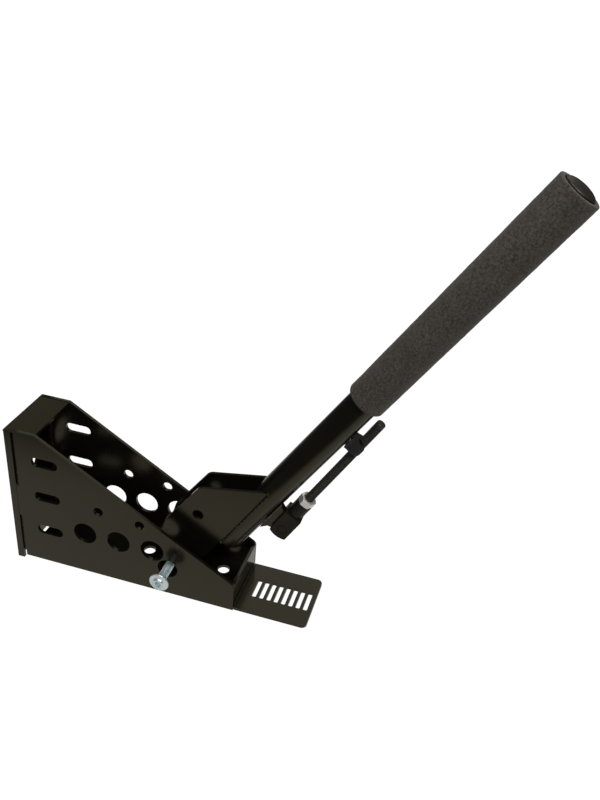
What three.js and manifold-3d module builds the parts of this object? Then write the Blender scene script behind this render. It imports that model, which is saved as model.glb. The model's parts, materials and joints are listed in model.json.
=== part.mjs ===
// Handbrake lever for a motorsport hydraulic brake, with a folding strut that locks it.
// Units are millimetres. +X points forward to the slotted tongue, +Y to the left, +Z up.
// The origin is on the underside, in the middle of the four base holes, below the lever pivot.

import * as THREE from 'three';
import { mergeVertices } from 'three/addons/utils/BufferGeometryUtils.js';
import Module from 'manifold-3d';

const wasm = await Module();
wasm.setup();

// Sheet metal and fits.
const SHEET = 3;
const GAP = 0.3;
const SLOT_CLEARANCE = 0.75;
const BOOLEAN_MARGIN = 1;

// Frame: lengths along X are measured from the rear face, then moved to the part's origin.
const PIVOT_FROM_REAR = 152.5;
const FRAME_LENGTH = 215;
const FRAME_WIDTH = 63;
const FRAME_HEIGHT = 139.4;
const LEVEL_TOP_LENGTH = 30;
const TOP_SLOPE = 0.6;
const NOSE_RADIUS = 6;
const TOP_REAR_RADIUS = 2;

// The gap between the rear plate's returns and the side plates, closed by a tab and an ear.
const PLATE_EDGE_FROM_REAR = 10;
const TAB_FROM_REAR = 7.3;
const TAB_LOW = 47.5;
const TAB_HIGH = 81;

// Rear plate: a folded channel with a top flange.
const RETURN_DEPTH = 7;
const FOLD_RADIUS = 1.2;
const REAR_LIP = 4;
const FLANGE_WIDTH = 56.4;
const FLANGE_DROP = 0.4;
const CYLINDER_HOLE_RADIUS = 13;
const CYLINDER_BOLT_RADIUS = 4.25;
const CYLINDER_BOLT_PITCH = 41.3;
const CYLINDER_AXIS_HEIGHT = 85;

// Holes in the side plates.
const LARGE_HOLE_RADIUS = 11;
const LARGE_HOLE_HEIGHT = 45.2;
const LARGE_HOLE_FIRST = 72.8;
const LARGE_HOLE_PITCH = 32.5;
const LARGE_HOLE_COUNT = 3;
const SMALL_HOLE_RADIUS = 4.6;
const SMALL_HOLES = [{ fromRear: 87, height: 73.8 }, { fromRear: 126.4, height: 70.3 }];
const WINDOW_LENGTH = 25;
const WINDOW_WIDTH = 9.5;
const WINDOW_FROM_REAR = 37.5;
const WINDOW_HEIGHTS = [37, 74.5, 111.5];
const PIVOT_ACCESS_RADIUS = 9.5;

// Base plate and its tongue.
const BASE_REAR_FROM_REAR = 10.5;
const TONGUE_FROM_REAR = 282.4;
const TONGUE_WIDTH = 61;
const TONGUE_CORNER_RADIUS = 5;
const BASE_HOLE_RADIUS = 5.5;
const BASE_HOLE_REACH_X = 37.5;
const BASE_HOLE_REACH_Y = 12.5;
const TONGUE_SLOT_FIRST = 227.7;
const TONGUE_SLOT_PITCH = 6.9;
const TONGUE_SLOT_COUNT = 8;
const TONGUE_SLOT_WIDTH = 4;
const TONGUE_SLOT_LENGTH = 23;
const TONGUE_SLOT_CORNER = 1;
const FRONT_WALL_TOP = 27.4;

// Pivot: an M8 bolt, shown slackened off, on two cup spacers.
const PIVOT_HEIGHT = 29.1;
const BOLT_RADIUS = 4;
const BOLT_LENGTH = 80;
const BOLT_HEAD_RADIUS = 8.9;
const BOLT_FLANGE_THICKNESS = 1.2;
const BOLT_HEAD_HEIGHT = 3.6;
const BOLT_CROWN_RADIUS = 4.6;
const BOLT_HEAD_SEAT = -49.3;
const HEX_KEY_ACROSS = 5;
const HEX_KEY_DEPTH = 2.4;
const BORE_RADIUS = 4.3;
const SPACER_RADIUS = 11.5;
const SPACER_CUP_RADIUS = 9.2;
const SPACER_SEAT = 20;
const WASHER_RADIUS = 8;
const WASHER_THICKNESS = 1.6;
const NUT_ACROSS = 13;
const PIVOT_NUT_HEIGHT = 8;
const NUT_COLLAR_RADIUS = 5.4;
const NUT_HEX_HEIGHT = 6;

// Lever: heights are measured along its tube's axis, which meets the underside at LEVER_FOOT_X.
const LEVER_FOOT_X = 9.7;
const LEVER_LEAN_DEG = 32.23;
const TUBE_RADIUS = 13;
const TUBE_WALL = 2;
const TUBE_BOTTOM = 67;
const TUBE_TOP = 480.3;
const GRIP_BOTTOM = 263.7;
const GRIP_LOW_RADIUS = 16.2;
const GRIP_TOP_RADIUS = 16.75;
const GRIP_LOW_EDGE = 2.5;
const GRIP_TOP_EDGE = 0.8;
const CAP_HEAD_RADIUS = 12.4;
const CAP_HEAD_HEIGHT = 3.4;
const CAP_STEM_LENGTH = 16;

// Lever cheeks, in the lever's own frame: x forward of the tube's axis, z along it.
// Their outer faces are flush with the tube's sides.
const PIVOT_IN_LEVER = { x: -23.72, z: 19.44 };
const CHEEK_REAR_TOP = { x: -50.2, z: 100.2 };
const CHEEK_REAR_LOW = { x: -53.3, z: 48 };
const CHEEK_FRONT_TOP = { x: -4.5, z: 142.7 };
const CHEEK_FRONT_LOW = { x: -4.5, z: 40 };
const CHEEK_CORNER_RADIUS = 10;
const CHEEK_FOOT_RADIUS = 20;
const PUSHROD_HOLE = { x: -34.8, z: 75.6, radius: 5.1 };
const SLEEVE_RADIUS = 8;

// Strut tab, pin and clip on the lever.
const STRUT_PIN = { x: 27.1, z: 117.7 };
const TAB_THICKNESS = 6.5;
const TAB_ROOT_LOW = 100.2;
const TAB_ROOT_HIGH = 133;
const TAB_WAIST = { x: 17.2, z: 107 };
const TAB_EYE_RADIUS = 8;
const PIN_RADIUS = 4;
const CLIP_LOW = 221.5;
const CLIP_HIGH = 234.2;
const CLIP_WIDTH = 13;
const CLIP_WEB_THICKNESS = 4.9;
const CLIP_ARM_REACH = 26.4;
const CLIP_SCREW_RADIUS = 2;
const CLIP_SCREW_HEAD_RADIUS = 3.6;
const CLIP_SCREW_HEAD_HEIGHT = 2;
const CLIP_SCREW_LENGTH = 8;

// Strut, in its own frame: z runs from its pin to its tip.
const STRUT_TOWARDS_LEVER_DEG = 2.24;
const FORK_SIZE = 16;
const FORK_END = -10;
const FORK_SHOULDER = 17.5;
const FORK_SLOT_WIDTH = 8;
const FORK_SLOT_END = 14;
const NECK_RADIUS = 7.2;
const NECK_END = 32;
const JAM_NUT_START = 32.3;
const JAM_NUT_HEIGHT = 6.6;
const ROD_RADIUS = 3.9;
const ROD_START = 18;
const ROD_END = 140.3;
const ROD_CHAMFER = 1.2;

// Faceting.
const SIDES = 32;
const FINE_SIDES = 48;
const CURVE_STEPS = 12;
const ROUND_STEPS = 6;
const CORNER_STEPS = 3;

// Places worked out from the dimensions above.
const REAR_X = -PIVOT_FROM_REAR;
const FRONT_X = REAR_X + FRAME_LENGTH;
const HALF_WIDTH = FRAME_WIDTH / 2;
const PLATE_INNER_Y = HALF_WIDTH - SHEET;
const BETWEEN_PLATES_Y = PLATE_INNER_Y - GAP;
const CHEEK_OUTER_Y = TUBE_RADIUS;
const CHEEK_INNER_Y = CHEEK_OUTER_Y - SHEET;

const paint = { color: 0x1c1a16, roughness: 0.38, metalness: 0 };
const zinc = { color: 0xc8ccd0, roughness: 0.3, metalness: 1 };
const foam = { color: 0x45433f, roughness: 0.95, metalness: 0 };
const rubber = { color: 0x1d1c1a, roughness: 0.7, metalness: 0 };
const blackSteel = { color: 0x24221d, roughness: 0.55, metalness: 0.4 };

// Turn a closed geometry into a solid that can be joined and cut.
function toSolid(geometry) {
  geometry.deleteAttribute('normal');
  geometry.deleteAttribute('uv');
  const merged = mergeVertices(geometry, 1e-4);
  const mesh = new wasm.Mesh({
    numProp: 3,
    vertProperties: new Float32Array(merged.attributes.position.array),
    triVerts: new Uint32Array(merged.index.array),
  });
  return new wasm.Manifold(mesh);
}

// Turn a solid back into a geometry.
function toGeometry(solid) {
  const mesh = solid.getMesh();
  const geometry = new THREE.BufferGeometry();
  geometry.setAttribute('position', new THREE.BufferAttribute(mesh.vertProperties, 3));
  geometry.setIndex(new THREE.BufferAttribute(mesh.triVerts, 1));
  geometry.computeVertexNormals();
  return geometry;
}

function addPiece(group, name, solid, look) {
  const mesh = new THREE.Mesh(toGeometry(solid), new THREE.MeshStandardMaterial(look));
  mesh.name = name;
  group.add(mesh);
}

// A flat plate: the outline is drawn in X and Z, and the plate runs from yLow to yHigh.
function plateAcrossY(outline, yLow, yHigh) {
  const depth = yHigh - yLow;
  const options = { depth, bevelEnabled: false, curveSegments: CURVE_STEPS };
  const geometry = new THREE.ExtrudeGeometry(outline, options);
  geometry.rotateX(Math.PI / 2);
  geometry.translate(0, yHigh, 0);
  return toSolid(geometry);
}

// A flat plate: the outline is drawn in X and Y, and the plate runs from zLow to zHigh.
function plateAcrossZ(outline, zLow, zHigh) {
  const depth = zHigh - zLow;
  const options = { depth, bevelEnabled: false, curveSegments: CURVE_STEPS };
  const geometry = new THREE.ExtrudeGeometry(outline, options);
  geometry.translate(0, 0, zLow);
  return toSolid(geometry);
}

function box(xLow, xHigh, yLow, yHigh, zLow, zHigh) {
  const geometry = new THREE.BoxGeometry(xHigh - xLow, yHigh - yLow, zHigh - zLow);
  geometry.translate((xLow + xHigh) / 2, (yLow + yHigh) / 2, (zLow + zHigh) / 2);
  return toSolid(geometry);
}

// A round bar or a prism along Y, from yLow to yHigh.
function barAlongY(radius, yLow, yHigh, x, z, sides = SIDES) {
  const geometry = new THREE.CylinderGeometry(radius, radius, yHigh - yLow, sides);
  geometry.translate(x, (yLow + yHigh) / 2, z);
  return toSolid(geometry);
}

// A round bar or a prism along Z, from zLow to zHigh.
function barAlongZ(radius, zLow, zHigh, sides = SIDES) {
  const geometry = new THREE.CylinderGeometry(radius, radius, zHigh - zLow, sides);
  geometry.rotateX(Math.PI / 2);
  geometry.translate(0, 0, (zLow + zHigh) / 2);
  return toSolid(geometry);
}

// A round bar along X, from xLow to xHigh.
function barAlongX(radius, xLow, xHigh, y, z, sides = SIDES) {
  const geometry = new THREE.CylinderGeometry(radius, radius, xHigh - xLow, sides);
  geometry.rotateZ(Math.PI / 2);
  geometry.translate((xLow + xHigh) / 2, y, z);
  return toSolid(geometry);
}

// A turned solid on the Y axis. The profile holds [radius, y] from its low end to its high end.
function turned(profile, sides = SIDES) {
  const points = profile.map(([radius, y]) => new THREE.Vector2(radius, y));
  return toSolid(new THREE.LatheGeometry(points, sides));
}

// The radius of a six-sided prism's corners, from its size across the flats.
function hexCorner(acrossFlats) {
  return acrossFlats / Math.sqrt(3);
}

function addRoundHole(outline, x, z, radius) {
  const hole = new THREE.Path();
  hole.absarc(x, z, radius, 0, 2 * Math.PI, true);
  outline.holes.push(hole);
}

// A hole with round ends, long in the outline's first direction.
function addLongHole(outline, x, z, length, width) {
  const radius = width / 2;
  const reach = length / 2 - radius;
  const hole = new THREE.Path();
  hole.absarc(x - reach, z, radius, 1.5 * Math.PI, 0.5 * Math.PI, true);
  hole.absarc(x + reach, z, radius, 0.5 * Math.PI, -0.5 * Math.PI, true);
  hole.closePath();
  outline.holes.push(hole);
}

// A rectangular hole with small rounded corners, drawn clockwise.
function addCornerHole(outline, x, y, width, length, radius) {
  const corners = [[-1, -1, -90], [-1, 1, 180], [1, 1, 90], [1, -1, 0]];
  const points = [];
  for (const [sideX, sideY, startDeg] of corners) {
    const centreX = x + sideX * (width / 2 - radius);
    const centreY = y + sideY * (length / 2 - radius);
    for (let step = 0; step <= CORNER_STEPS; step += 1) {
      const angle = THREE.MathUtils.degToRad(startDeg - (90 * step) / CORNER_STEPS);
      const reach = new THREE.Vector2(Math.cos(angle), Math.sin(angle)).multiplyScalar(radius);
      points.push(reach.add(new THREE.Vector2(centreX, centreY)));
    }
  }
  outline.holes.push(new THREE.Path(points));
}

// Points of a quarter round from one direction to another, for a turned profile.
function quarterRound(centreRadius, centreY, radius, startDeg, endDeg) {
  const points = [];
  for (let step = 0; step <= ROUND_STEPS; step += 1) {
    const angle = THREE.MathUtils.degToRad(startDeg + ((endDeg - startDeg) * step) / ROUND_STEPS);
    points.push([centreRadius + radius * Math.cos(angle), centreY + radius * Math.sin(angle)]);
  }
  return points;
}

function sidePlateOutline() {
  const topRearX = REAR_X + LEVEL_TOP_LENGTH;
  const edgeX = REAR_X + PLATE_EDGE_FROM_REAR;
  const tabX = REAR_X + TAB_FROM_REAR;
  const slopeLength = Math.hypot(TOP_SLOPE, 1);
  const slopeAngle = Math.atan2(1, TOP_SLOPE);
  const noseX = FRONT_X - NOSE_RADIUS;
  const topAboveNose = FRAME_HEIGHT - TOP_SLOPE * (noseX - topRearX);
  const noseZ = topAboveNose - NOSE_RADIUS * slopeLength;
  const earLow = FRAME_HEIGHT - TOP_REAR_RADIUS;

  const outline = new THREE.Shape();
  outline.moveTo(edgeX, 0);
  outline.lineTo(FRONT_X, 0);
  outline.absarc(noseX, noseZ, NOSE_RADIUS, 0, slopeAngle, false);
  outline.lineTo(topRearX, FRAME_HEIGHT);
  outline.absarc(REAR_X + TOP_REAR_RADIUS, earLow, TOP_REAR_RADIUS, Math.PI / 2, Math.PI, false);
  outline.lineTo(edgeX, earLow);
  outline.lineTo(edgeX, TAB_HIGH);
  outline.lineTo(tabX, TAB_HIGH);
  outline.lineTo(tabX, TAB_LOW);
  outline.lineTo(edgeX, TAB_LOW);
  outline.closePath();

  for (let index = 0; index < LARGE_HOLE_COUNT; index += 1) {
    const x = REAR_X + LARGE_HOLE_FIRST + index * LARGE_HOLE_PITCH;
    addRoundHole(outline, x, LARGE_HOLE_HEIGHT, LARGE_HOLE_RADIUS);
  }
  for (const hole of SMALL_HOLES) {
    addRoundHole(outline, REAR_X + hole.fromRear, hole.height, SMALL_HOLE_RADIUS);
  }
  for (const height of WINDOW_HEIGHTS) {
    addLongHole(outline, REAR_X + WINDOW_FROM_REAR, height, WINDOW_LENGTH, WINDOW_WIDTH);
  }
  addRoundHole(outline, 0, PIVOT_HEIGHT, PIVOT_ACCESS_RADIUS);
  return outline;
}

function basePlate() {
  const rearX = REAR_X + BASE_REAR_FROM_REAR;
  const stepX = FRONT_X + GAP;
  const tongueX = REAR_X + TONGUE_FROM_REAR;
  const cornerX = tongueX - TONGUE_CORNER_RADIUS;
  const tongueY = TONGUE_WIDTH / 2;
  const cornerY = tongueY - TONGUE_CORNER_RADIUS;

  const outline = new THREE.Shape();
  outline.moveTo(rearX, -BETWEEN_PLATES_Y);
  outline.lineTo(stepX, -BETWEEN_PLATES_Y);
  outline.lineTo(stepX, -tongueY);
  outline.lineTo(cornerX, -tongueY);
  outline.absarc(cornerX, -cornerY, TONGUE_CORNER_RADIUS, -Math.PI / 2, 0, false);
  outline.lineTo(tongueX, cornerY);
  outline.absarc(cornerX, cornerY, TONGUE_CORNER_RADIUS, 0, Math.PI / 2, false);
  outline.lineTo(stepX, tongueY);
  outline.lineTo(stepX, BETWEEN_PLATES_Y);
  outline.lineTo(rearX, BETWEEN_PLATES_Y);
  outline.closePath();

  for (let index = 0; index < TONGUE_SLOT_COUNT; index += 1) {
    const x = REAR_X + TONGUE_SLOT_FIRST + index * TONGUE_SLOT_PITCH;
    addCornerHole(outline, x, 0, TONGUE_SLOT_WIDTH, TONGUE_SLOT_LENGTH, TONGUE_SLOT_CORNER);
  }
  for (const sideX of [-1, 1]) {
    for (const sideY of [-1, 1]) {
      addRoundHole(outline, sideX * BASE_HOLE_REACH_X, sideY * BASE_HOLE_REACH_Y, BASE_HOLE_RADIUS);
    }
  }
  return plateAcrossZ(outline, 0, SHEET);
}

// The rear plate's channel, drawn in X and Y, with its two vertical folds.
function rearChannelOutline() {
  const innerX = REAR_X + SHEET;
  const returnX = REAR_X + RETURN_DEPTH;
  const foldX = REAR_X + FOLD_RADIUS;
  const foldY = HALF_WIDTH - FOLD_RADIUS;
  const outline = new THREE.Shape();
  outline.moveTo(returnX, -HALF_WIDTH);
  outline.lineTo(returnX, -PLATE_INNER_Y);
  outline.lineTo(innerX, -PLATE_INNER_Y);
  outline.lineTo(innerX, PLATE_INNER_Y);
  outline.lineTo(returnX, PLATE_INNER_Y);
  outline.lineTo(returnX, HALF_WIDTH);
  outline.lineTo(foldX, HALF_WIDTH);
  outline.absarc(foldX, foldY, FOLD_RADIUS, Math.PI / 2, Math.PI, false);
  outline.lineTo(REAR_X, -foldY);
  outline.absarc(foldX, -foldY, FOLD_RADIUS, Math.PI, 1.5 * Math.PI, false);
  outline.closePath();
  return outline;
}

// The rear plate's top flange, drawn in X and Z, with the upper stretch of its web.
function rearFlangeOutline(webLow) {
  const top = FRAME_HEIGHT - FLANGE_DROP;
  const foldX = REAR_X + FOLD_RADIUS;
  const outline = new THREE.Shape();
  outline.moveTo(REAR_X, webLow);
  outline.lineTo(REAR_X + SHEET, webLow);
  outline.lineTo(REAR_X + SHEET, top - SHEET);
  outline.lineTo(REAR_X + LEVEL_TOP_LENGTH, top - SHEET);
  outline.lineTo(REAR_X + LEVEL_TOP_LENGTH, top);
  outline.lineTo(foldX, top);
  outline.absarc(foldX, top - FOLD_RADIUS, FOLD_RADIUS, Math.PI / 2, Math.PI, false);
  outline.closePath();
  return outline;
}

function rearPlate() {
  const channelTop = FRAME_HEIGHT - TOP_REAR_RADIUS - GAP;
  const webLow = channelTop - 5;
  const halfFlange = FLANGE_WIDTH / 2;
  const returnX = REAR_X + RETURN_DEPTH;
  const channel = plateAcrossZ(rearChannelOutline(), -REAR_LIP, channelTop);
  const foldCut = box(
    REAR_X - BOOLEAN_MARGIN, returnX - BOOLEAN_MARGIN, -halfFlange, halfFlange,
    webLow + BOOLEAN_MARGIN, channelTop + BOOLEAN_MARGIN,
  );
  const flange = plateAcrossY(rearFlangeOutline(webLow), -halfFlange, halfFlange);
  const bolts = [-1, 1].map((side) => {
    const z = CYLINDER_AXIS_HEIGHT + (side * CYLINDER_BOLT_PITCH) / 2;
    return barAlongX(CYLINDER_BOLT_RADIUS, REAR_X - BOOLEAN_MARGIN, returnX, 0, z);
  });
  const centre = barAlongX(
    CYLINDER_HOLE_RADIUS, REAR_X - BOOLEAN_MARGIN, returnX, 0, CYLINDER_AXIS_HEIGHT,
  );
  return channel.subtract(foldCut).add(flange).subtract(centre).subtract(bolts[0]).subtract(bolts[1]);
}

function frontWall() {
  return box(
    FRONT_X - SHEET, FRONT_X, -BETWEEN_PLATES_Y, BETWEEN_PLATES_Y, SHEET + GAP, FRONT_WALL_TOP,
  );
}

// The pivot pieces are drawn on the Y axis, and their group is placed at the pivot.
function pivotBolt() {
  const tip = BOLT_HEAD_SEAT + BOLT_LENGTH;
  const face = BOLT_HEAD_SEAT - BOLT_HEAD_HEIGHT;
  const flangeFace = BOLT_HEAD_SEAT - BOLT_FLANGE_THICKNESS;
  const crownRise = BOLT_HEAD_HEIGHT - BOLT_FLANGE_THICKNESS;
  const crownReach = BOLT_HEAD_RADIUS - 1.4 - BOLT_CROWN_RADIUS;
  const profile = [[0, face]];
  for (let step = 0; step <= ROUND_STEPS; step += 1) {
    const angle = (Math.PI / 2) * (1 - step / ROUND_STEPS);
    const radius = BOLT_CROWN_RADIUS + crownReach * Math.cos(angle);
    profile.push([radius, flangeFace - crownRise * Math.sin(angle)]);
  }
  profile.push([BOLT_HEAD_RADIUS, flangeFace]);
  profile.push([BOLT_HEAD_RADIUS, BOLT_HEAD_SEAT]);
  profile.push([BOLT_RADIUS, BOLT_HEAD_SEAT]);
  profile.push([BOLT_RADIUS, tip - 1]);
  profile.push([BOLT_RADIUS - 1, tip]);
  profile.push([0, tip]);
  const socketEnd = face + HEX_KEY_DEPTH;
  const socket = barAlongY(hexCorner(HEX_KEY_ACROSS), face - BOOLEAN_MARGIN, socketEnd, 0, 0, 6);
  return turned(profile).subtract(socket);
}

function cupSpacer(side) {
  const inner = CHEEK_OUTER_Y + GAP;
  const outer = BETWEEN_PLATES_Y;
  const [low, high] = side < 0 ? [-outer, -inner] : [inner, outer];
  const body = barAlongY(SPACER_RADIUS, low, high, 0, 0);
  const bore = barAlongY(BORE_RADIUS, low - BOOLEAN_MARGIN, high + BOOLEAN_MARGIN, 0, 0);
  const cupLow = side < 0 ? -outer - BOOLEAN_MARGIN : SPACER_SEAT;
  const cupHigh = side < 0 ? -SPACER_SEAT : outer + BOOLEAN_MARGIN;
  return body.subtract(bore).subtract(barAlongY(SPACER_CUP_RADIUS, cupLow, cupHigh, 0, 0));
}

function pivotWasher() {
  const low = SPACER_SEAT + GAP;
  const high = low + WASHER_THICKNESS;
  const body = barAlongY(WASHER_RADIUS, low, high, 0, 0);
  return body.subtract(barAlongY(BORE_RADIUS, low - BOOLEAN_MARGIN, high + BOOLEAN_MARGIN, 0, 0));
}

// A self-locking nut: a hexagon with a round collar on its far side.
function pivotNut() {
  const low = SPACER_SEAT + GAP + WASHER_THICKNESS + GAP;
  const high = low + PIVOT_NUT_HEIGHT;
  const hexagon = barAlongY(hexCorner(NUT_ACROSS), low, low + NUT_HEX_HEIGHT, 0, 0, 6);
  const collar = barAlongY(NUT_COLLAR_RADIUS, low + NUT_HEX_HEIGHT - 1, high, 0, 0);
  const bore = barAlongY(BORE_RADIUS, low - BOOLEAN_MARGIN, high + BOOLEAN_MARGIN, 0, 0);
  return hexagon.add(collar).subtract(bore);
}

// The point where a line from an outside point touches a circle. Side +1 or -1 picks which one.
function tangentPoint(point, centre, radius, side) {
  const dx = point.x - centre.x;
  const dz = point.z - centre.z;
  const away = Math.atan2(dz, dx);
  const angle = away + side * Math.acos(radius / Math.hypot(dx, dz));
  return angle;
}

function cheekOutline() {
  const foot = PIVOT_IN_LEVER;
  const footStart = tangentPoint(CHEEK_REAR_LOW, foot, CHEEK_FOOT_RADIUS, 1);
  const footEnd = tangentPoint(CHEEK_FRONT_LOW, foot, CHEEK_FOOT_RADIUS, -1);

  // The top corner's arc touches both the rear edge and the sloping top edge.
  const corner = new THREE.Vector2(CHEEK_REAR_TOP.x, CHEEK_REAR_TOP.z);
  const alongTop = new THREE.Vector2(CHEEK_FRONT_TOP.x, CHEEK_FRONT_TOP.z).sub(corner).normalize();
  const alongRear = new THREE.Vector2(CHEEK_REAR_LOW.x, CHEEK_REAR_LOW.z).sub(corner).normalize();
  const middle = alongTop.clone().add(alongRear).normalize();
  const halfAngle = Math.acos(alongTop.dot(middle));
  const centre = corner.clone().addScaledVector(middle, CHEEK_CORNER_RADIUS / Math.sin(halfAngle));
  const topNormal = alongTop.angle() + Math.PI / 2;
  const rearNormal = alongRear.angle() - Math.PI / 2;

  const outline = new THREE.Shape();
  outline.moveTo(CHEEK_FRONT_LOW.x, CHEEK_FRONT_LOW.z);
  outline.lineTo(CHEEK_FRONT_TOP.x, CHEEK_FRONT_TOP.z);
  outline.absarc(centre.x, centre.y, CHEEK_CORNER_RADIUS, topNormal, rearNormal, false);
  outline.lineTo(CHEEK_REAR_LOW.x, CHEEK_REAR_LOW.z);
  outline.absarc(foot.x, foot.z, CHEEK_FOOT_RADIUS, footStart, footEnd + 2 * Math.PI, false);
  outline.closePath();
  addRoundHole(outline, PUSHROD_HOLE.x, PUSHROD_HOLE.z, PUSHROD_HOLE.radius);
  addRoundHole(outline, foot.x, foot.z, BORE_RADIUS);
  return outline;
}

// A cheek: a plate with its front edge hollowed to stand clear of the tube.
function cheek(yLow, yHigh) {
  const room = barAlongZ(
    TUBE_RADIUS + GAP, TUBE_BOTTOM - GAP, CHEEK_FRONT_TOP.z + BOOLEAN_MARGIN, FINE_SIDES,
  );
  return plateAcrossY(cheekOutline(), yLow, yHigh).subtract(room);
}

function pivotSleeve() {
  const { x, z } = PIVOT_IN_LEVER;
  const reach = CHEEK_INNER_Y - GAP;
  const cut = reach + BOOLEAN_MARGIN;
  return barAlongY(SLEEVE_RADIUS, -reach, reach, x, z).subtract(barAlongY(BORE_RADIUS, -cut, cut, x, z));
}

function leverTube() {
  const outer = barAlongZ(TUBE_RADIUS, TUBE_BOTTOM, TUBE_TOP, FINE_SIDES);
  const inner = barAlongZ(
    TUBE_RADIUS - TUBE_WALL, TUBE_BOTTOM - BOOLEAN_MARGIN, TUBE_TOP + BOOLEAN_MARGIN, FINE_SIDES,
  );
  const screwHeight = (CLIP_LOW + CLIP_HIGH) / 2;
  const screwHole = barAlongX(CLIP_SCREW_RADIUS + GAP, 0, TUBE_RADIUS + BOOLEAN_MARGIN, 0, screwHeight);
  return outer.subtract(inner).subtract(screwHole);
}

function foamGrip() {
  const low = GRIP_LOW_EDGE;
  const top = GRIP_TOP_EDGE;
  const profile = [
    [0, GRIP_BOTTOM],
    ...quarterRound(GRIP_LOW_RADIUS - low, GRIP_BOTTOM + low, low, -90, 0),
    ...quarterRound(GRIP_TOP_RADIUS - top, TUBE_TOP - top, top, 0, 90),
    [0, TUBE_TOP],
  ];
  const body = toSolid(new THREE.LatheGeometry(
    profile.map(([radius, y]) => new THREE.Vector2(radius, y)), FINE_SIDES,
  ).rotateX(Math.PI / 2));
  const bore = barAlongZ(
    TUBE_RADIUS + GAP, GRIP_BOTTOM - BOOLEAN_MARGIN, TUBE_TOP + BOOLEAN_MARGIN, FINE_SIDES,
  );
  return body.subtract(bore);
}

function gripEndCap() {
  const seat = TUBE_TOP + GAP;
  const stemRadius = TUBE_RADIUS - TUBE_WALL - GAP;
  const profile = [[0, seat - CAP_STEM_LENGTH], [stemRadius, seat - CAP_STEM_LENGTH], [stemRadius, seat]];
  for (let step = 0; step <= ROUND_STEPS; step += 1) {
    const angle = (Math.PI / 2) * (step / ROUND_STEPS);
    profile.push([CAP_HEAD_RADIUS * Math.cos(angle), seat + CAP_HEAD_HEIGHT * Math.sin(angle)]);
  }
  profile[profile.length - 1][0] = 0;
  const points = profile.map(([radius, y]) => new THREE.Vector2(radius, y));
  return toSolid(new THREE.LatheGeometry(points, SIDES).rotateX(Math.PI / 2));
}

function strutTab() {
  const rootX = TUBE_RADIUS + GAP;
  const low = tangentPoint(TAB_WAIST, STRUT_PIN, TAB_EYE_RADIUS, 1);
  const high = tangentPoint({ x: rootX, z: TAB_ROOT_HIGH }, STRUT_PIN, TAB_EYE_RADIUS, -1);
  const outline = new THREE.Shape();
  outline.moveTo(rootX, TAB_ROOT_HIGH);
  outline.lineTo(rootX, TAB_ROOT_LOW);
  outline.lineTo(TAB_WAIST.x, TAB_WAIST.z);
  outline.absarc(STRUT_PIN.x, STRUT_PIN.z, TAB_EYE_RADIUS, low, high, false);
  outline.closePath();
  addRoundHole(outline, STRUT_PIN.x, STRUT_PIN.z, PIN_RADIUS + GAP);
  return plateAcrossY(outline, -TAB_THICKNESS / 2, TAB_THICKNESS / 2);
}

// A U-shaped spring clip that the strut's rod snaps into.
function strutClip() {
  const rootX = TUBE_RADIUS + GAP;
  const floorX = rootX + CLIP_WEB_THICKNESS;
  const halfMouth = ROD_RADIUS + SLOT_CLEARANCE / 2;
  const middle = (CLIP_LOW + CLIP_HIGH) / 2;
  const body = box(rootX, CLIP_ARM_REACH, -CLIP_WIDTH / 2, CLIP_WIDTH / 2, CLIP_LOW, CLIP_HIGH);
  const mouth = box(
    floorX, CLIP_ARM_REACH + BOOLEAN_MARGIN, -halfMouth, halfMouth,
    CLIP_LOW - BOOLEAN_MARGIN, CLIP_HIGH + BOOLEAN_MARGIN,
  );
  const headDepth = CLIP_SCREW_HEAD_HEIGHT + 2 * GAP;
  const headRecess = barAlongX(
    CLIP_SCREW_HEAD_RADIUS + GAP, floorX - headDepth, floorX + BOOLEAN_MARGIN, 0, middle,
  );
  const screwHole = barAlongX(CLIP_SCREW_RADIUS + GAP, 0, floorX, 0, middle);
  return body.subtract(mouth).subtract(headRecess).subtract(screwHole);
}

function clipScrew() {
  const headLow = TUBE_RADIUS + GAP + CLIP_WEB_THICKNESS - CLIP_SCREW_HEAD_HEIGHT - GAP;
  const middle = (CLIP_LOW + CLIP_HIGH) / 2;
  const head = barAlongX(CLIP_SCREW_HEAD_RADIUS, headLow, headLow + CLIP_SCREW_HEAD_HEIGHT, 0, middle);
  const shank = barAlongX(CLIP_SCREW_RADIUS, headLow - CLIP_SCREW_LENGTH, headLow + 1, 0, middle);
  return head.add(shank);
}

function strutFork() {
  const half = FORK_SIZE / 2;
  const endRadius = 2 * half;
  const outline = new THREE.Shape();
  const endReach = Math.sqrt(endRadius ** 2 - half ** 2);
  const endCentre = FORK_END + endRadius;
  const startAngle = Math.atan2(-endReach, -half);
  outline.moveTo(half, FORK_SHOULDER);
  outline.lineTo(-half, FORK_SHOULDER);
  outline.absarc(0, endCentre, endRadius, startAngle, -Math.PI - startAngle, false);
  outline.closePath();
  addRoundHole(outline, 0, 0, PIN_RADIUS + GAP);
  const block = plateAcrossY(outline, -half, half);
  const neck = barAlongZ(NECK_RADIUS, FORK_SHOULDER - BOOLEAN_MARGIN, NECK_END);
  const slot = box(
    -half - BOOLEAN_MARGIN, half + BOOLEAN_MARGIN, -FORK_SLOT_WIDTH / 2, FORK_SLOT_WIDTH / 2,
    FORK_END - BOOLEAN_MARGIN, FORK_SLOT_END,
  );
  const bore = barAlongZ(ROD_RADIUS + GAP, FORK_SLOT_END - BOOLEAN_MARGIN, NECK_END + BOOLEAN_MARGIN);
  return block.add(neck).subtract(slot).subtract(bore);
}

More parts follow.
